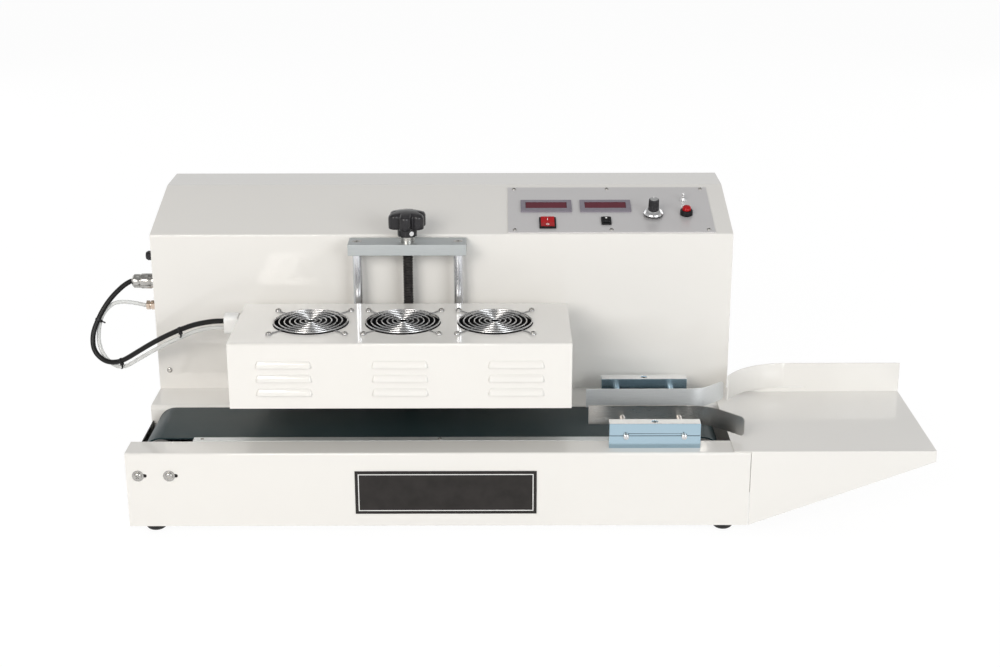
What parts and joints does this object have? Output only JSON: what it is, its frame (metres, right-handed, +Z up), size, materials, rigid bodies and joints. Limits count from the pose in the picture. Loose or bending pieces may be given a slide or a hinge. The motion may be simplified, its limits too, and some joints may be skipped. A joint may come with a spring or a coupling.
{
  "type": "induction cap sealer",
  "caption": "Benchtop induction cap sealer: belt conveyor through a folded sheet base, fan-cooled sealing head on a knob-driven lift, bottle guides, feed tray and sloped control panel.",
  "frame": {"origin": "on the floor, under the middle of the machine's box (the hanging cable and tube left out)", "axes": "+X along the belt towards the feed tray, +Y from the operator's side to the cabinet's back, +Z up"},
  "size_m": [1.2138, 0.4928, 0.41],
  "materials": {
    "paint": "gloss ivory enamel",
    "tray_paint": "gloss ivory enamel",
    "zinc_sheet": "zinc plated, satin",
    "rubber": "matte",
    "stainless": "bright rolled stainless",
    "belt": "coated fabric belt, satin",
    "alloy": "machined, satin",
    "chrome": "bright plated",
    "motor": "painted grey",
    "black_gloss": "moulded black",
    "black_matte": "moulded black",
    "panel": "grey coated sheet",
    "meter": "moulded grey",
    "window": "dark red filter",
    "red": "moulded red",
    "brass": "bright",
    "black_steel": "blackened",
    "copper": "wound copper",
    "ferrite": "sintered ferrite",
    "insulator": "laminate sheet",
    "nylon": "moulded white nylon",
    "cable": "cable sheath",
    "tube": "clear tube, seen as white",
    "plate": "black coated sheet"
  },
  "bodies": {
    "frame": {"base_shell": "paint", "base_floor": "zinc_sheet", "rubber_feet": "rubber", "slider_bed": "stainless", "conveyor_belt": "belt", "idler_bearing_plates": "alloy", "tension_screws": "chrome", "drive_bearing_stand": "alloy", "drive_gearmotor": "motor", "feed_tray": "tray_paint", "clamp_lower_blocks": "alloy", "clamp_upper_blocks": "alloy", "cabinet_cover": "paint", "cabinet_left_panel": "paint", "cabinet_right_panel": "paint", "cabinet_back_panel": "paint", "case_screws": "chrome", "power_module": "alloy", "mains_inlet": "black_matte", "cable_plug": "chrome", "tube_fitting": "brass", "fuse_holder": "black_gloss", "nameplate": "plate", "control_panel": "panel", "panel_meters": "meter", "meter_windows": "window", "switch_housings": "black_gloss", "speed_pot": "zinc_sheet", "toggle_body": "chrome", "lift_rods": "chrome", "lift_top_bar": "alloy", "head_cable": "cable", "head_tube": "tube"},
    "drive_roller": {"drive_roller": "stainless"},
    "idler_roller": {"idler_roller": "stainless"},
    "front_guide": {"front_guide": "stainless"},
    "back_guide": {"back_guide": "stainless"},
    "power_rocker": {"power_rocker": "red"},
    "mode_rocker": {"mode_rocker": "black_gloss"},
    "speed_knob": {"speed_knob": "black_gloss"},
    "toggle_lever": {"toggle_lever": "chrome"},
    "push_button": {"push_button": "red"},
    "lift_knob": {"lift_screw": "black_steel", "thrust_collars": "brass", "star_knob": "black_gloss", "knob_set_screw": "chrome"},
    "head": {"head_cover": "paint", "head_floor": "insulator", "induction_coil": "copper", "ferrite_bars": "ferrite", "fan_frames": "black_matte", "fan_guards": "chrome", "guard_screws": "chrome", "head_carriage": "alloy", "carriage_bushes": "brass", "lift_nut": "brass", "head_gland": "nylon"},
    "fan_1": {"fan_rotor_1": "black_matte"},
    "fan_2": {"fan_rotor_2": "black_matte"},
    "fan_3": {"fan_rotor_3": "black_matte"}
  },
  "joints": [
    {"name": "head_lift", "type": "slide", "parent": "frame", "child": "head", "axis": [0, 0, 1], "range_m": [-0.04, 0.09]},
    {"name": "lift_turn", "type": "hinge", "parent": "frame", "child": "lift_knob", "pos_m": [-0.1575, -0.00965, 0.371], "axis": [0, 0, 1], "range_deg": [-8105, 3605]},
    {"name": "drive_turn", "type": "hinge", "parent": "frame", "child": "drive_roller", "pos_m": [0.2615, -0.12165, 0.0962], "axis": [0, 1, 0], "continuous": true},
    {"name": "idler_turn", "type": "hinge", "parent": "frame", "child": "idler_roller", "pos_m": [-0.5005, -0.12165, 0.0962], "axis": [0, 1, 0], "continuous": true},
    {"name": "fan_1_turn", "type": "hinge", "parent": "head", "child": "fan_1", "pos_m": [-0.2895, -0.12415, 0.256], "axis": [0, 0, 1], "continuous": true},
    {"name": "fan_2_turn", "type": "hinge", "parent": "head", "child": "fan_2", "pos_m": [-0.1595, -0.12415, 0.256], "axis": [0, 0, 1], "continuous": true},
    {"name": "fan_3_turn", "type": "hinge", "parent": "head", "child": "fan_3", "pos_m": [-0.0295, -0.12415, 0.256], "axis": [0, 0, 1], "continuous": true},
    {"name": "front_guide_slide", "type": "slide", "parent": "frame", "child": "front_guide", "axis": [0, 1, 0], "range_m": [-0.045, 0.008]},
    {"name": "back_guide_slide", "type": "slide", "parent": "frame", "child": "back_guide", "axis": [0, 1, 0], "range_m": [-0.012, 0.025]},
    {"name": "power_rock", "type": "hinge", "parent": "frame", "child": "power_rocker", "pos_m": [0.0485, 0.04204, 0.37491], "axis": [1, 0, 0], "range_deg": [-16, 0]},
    {"name": "mode_rock", "type": "hinge", "parent": "frame", "child": "mode_rocker", "pos_m": [0.136, 0.04785, 0.3764], "axis": [1, 0, 0], "range_deg": [-16, 0]},
    {"name": "speed_turn", "type": "hinge", "parent": "frame", "child": "speed_knob", "pos_m": [0.2075, 0.06414, 0.38936], "axis": [0, -0.2485, 0.9686], "range_deg": [-150, 150]},
    {"name": "toggle_flip", "type": "hinge", "parent": "frame", "child": "toggle_lever", "pos_m": [0.2565, 0.10885, 0.39618], "axis": [1, 0, 0], "range_deg": [0, 24]},
    {"name": "button_press", "type": "slide", "parent": "frame", "child": "push_button", "axis": [0, 0.2485, -0.9686], "range_m": [0, 0.003], "stiffness_N_per_m": 400, "springref_m": -0.001}
  ],
  "couplings": [
    {"joint": "lift_turn", "follows": "head_lift", "rad_per_m": -1570.8},
    {"joint": "idler_turn", "follows": "drive_turn", "ratio": 1}
  ]
}
